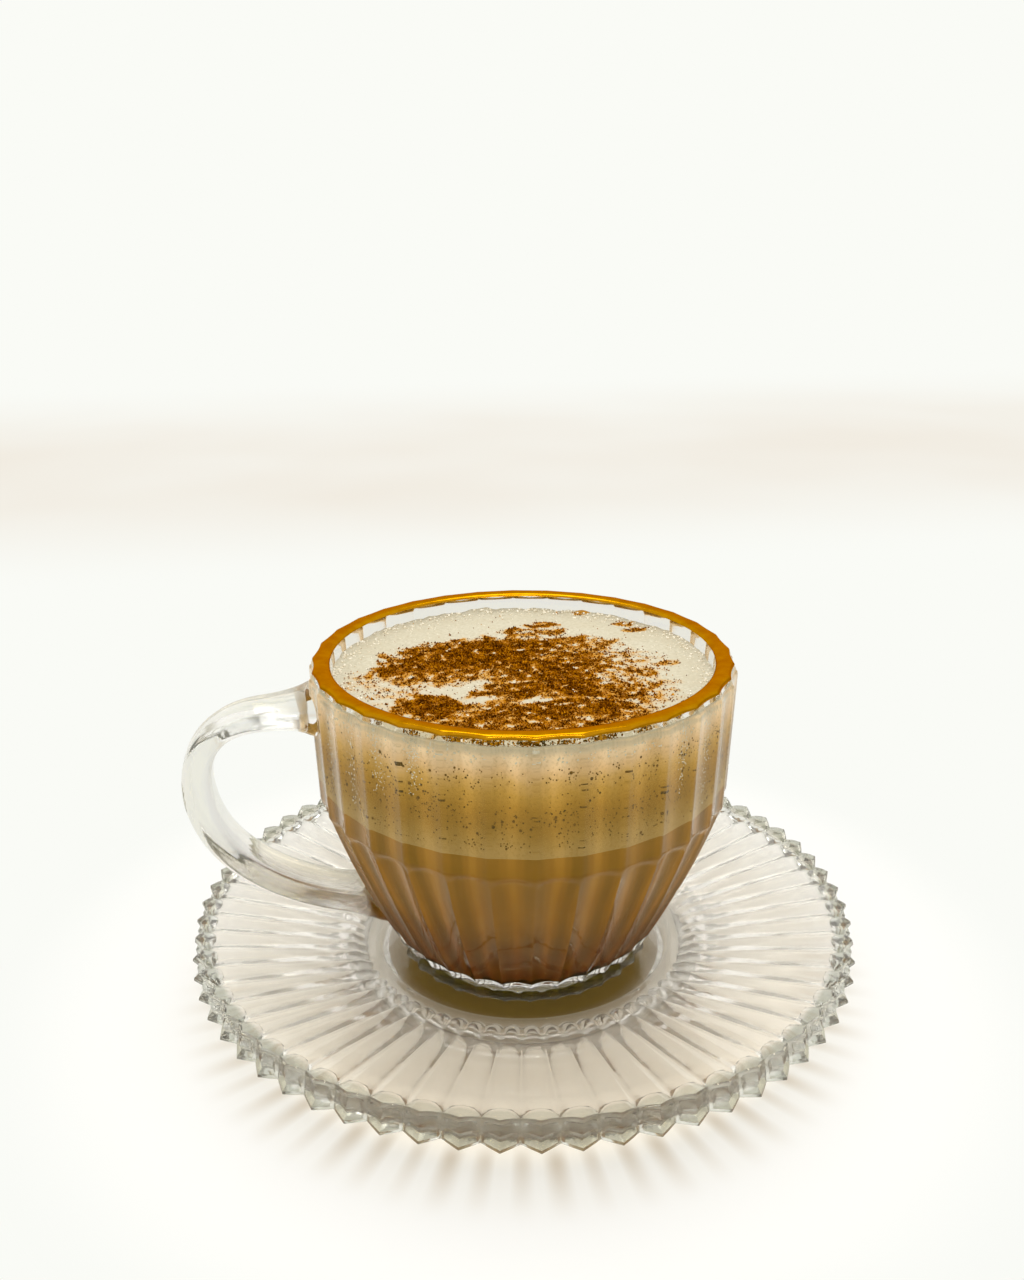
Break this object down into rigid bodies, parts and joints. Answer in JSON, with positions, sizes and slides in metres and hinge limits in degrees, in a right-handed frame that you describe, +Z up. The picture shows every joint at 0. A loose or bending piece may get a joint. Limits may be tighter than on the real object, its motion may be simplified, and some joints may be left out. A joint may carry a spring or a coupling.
{
  "type": "masala chai in a glass cup with saucer",
  "caption": "Frothy spiced milk tea dusted with cinnamon, in a fluted glass cup with a gilt rim and a handle, standing on a ribbed glass saucer with a toothed edge.",
  "frame": {"origin": "on the common axis of cup and saucer, at the height of the surface the saucer stands on", "axes": "+Z up; the handle points to -X; the front of the cup is -Y"},
  "size_m": [0.1424, 0.1424, 0.072],
  "materials": {
    "clear_glass": "clear pressed glass, polished",
    "gilt": "fired gilding, glossy",
    "chai": "milky brown tea, wet",
    "froth": "fine milk foam, matte",
    "cinnamon": "dry ground spice",
    "droplets": "clear water drops"
  },
  "bodies": {
    "root": {"saucer": "clear_glass", "glass_cup": "clear_glass", "chai": "chai", "froth": "froth"}
  },
  "joints": []
}
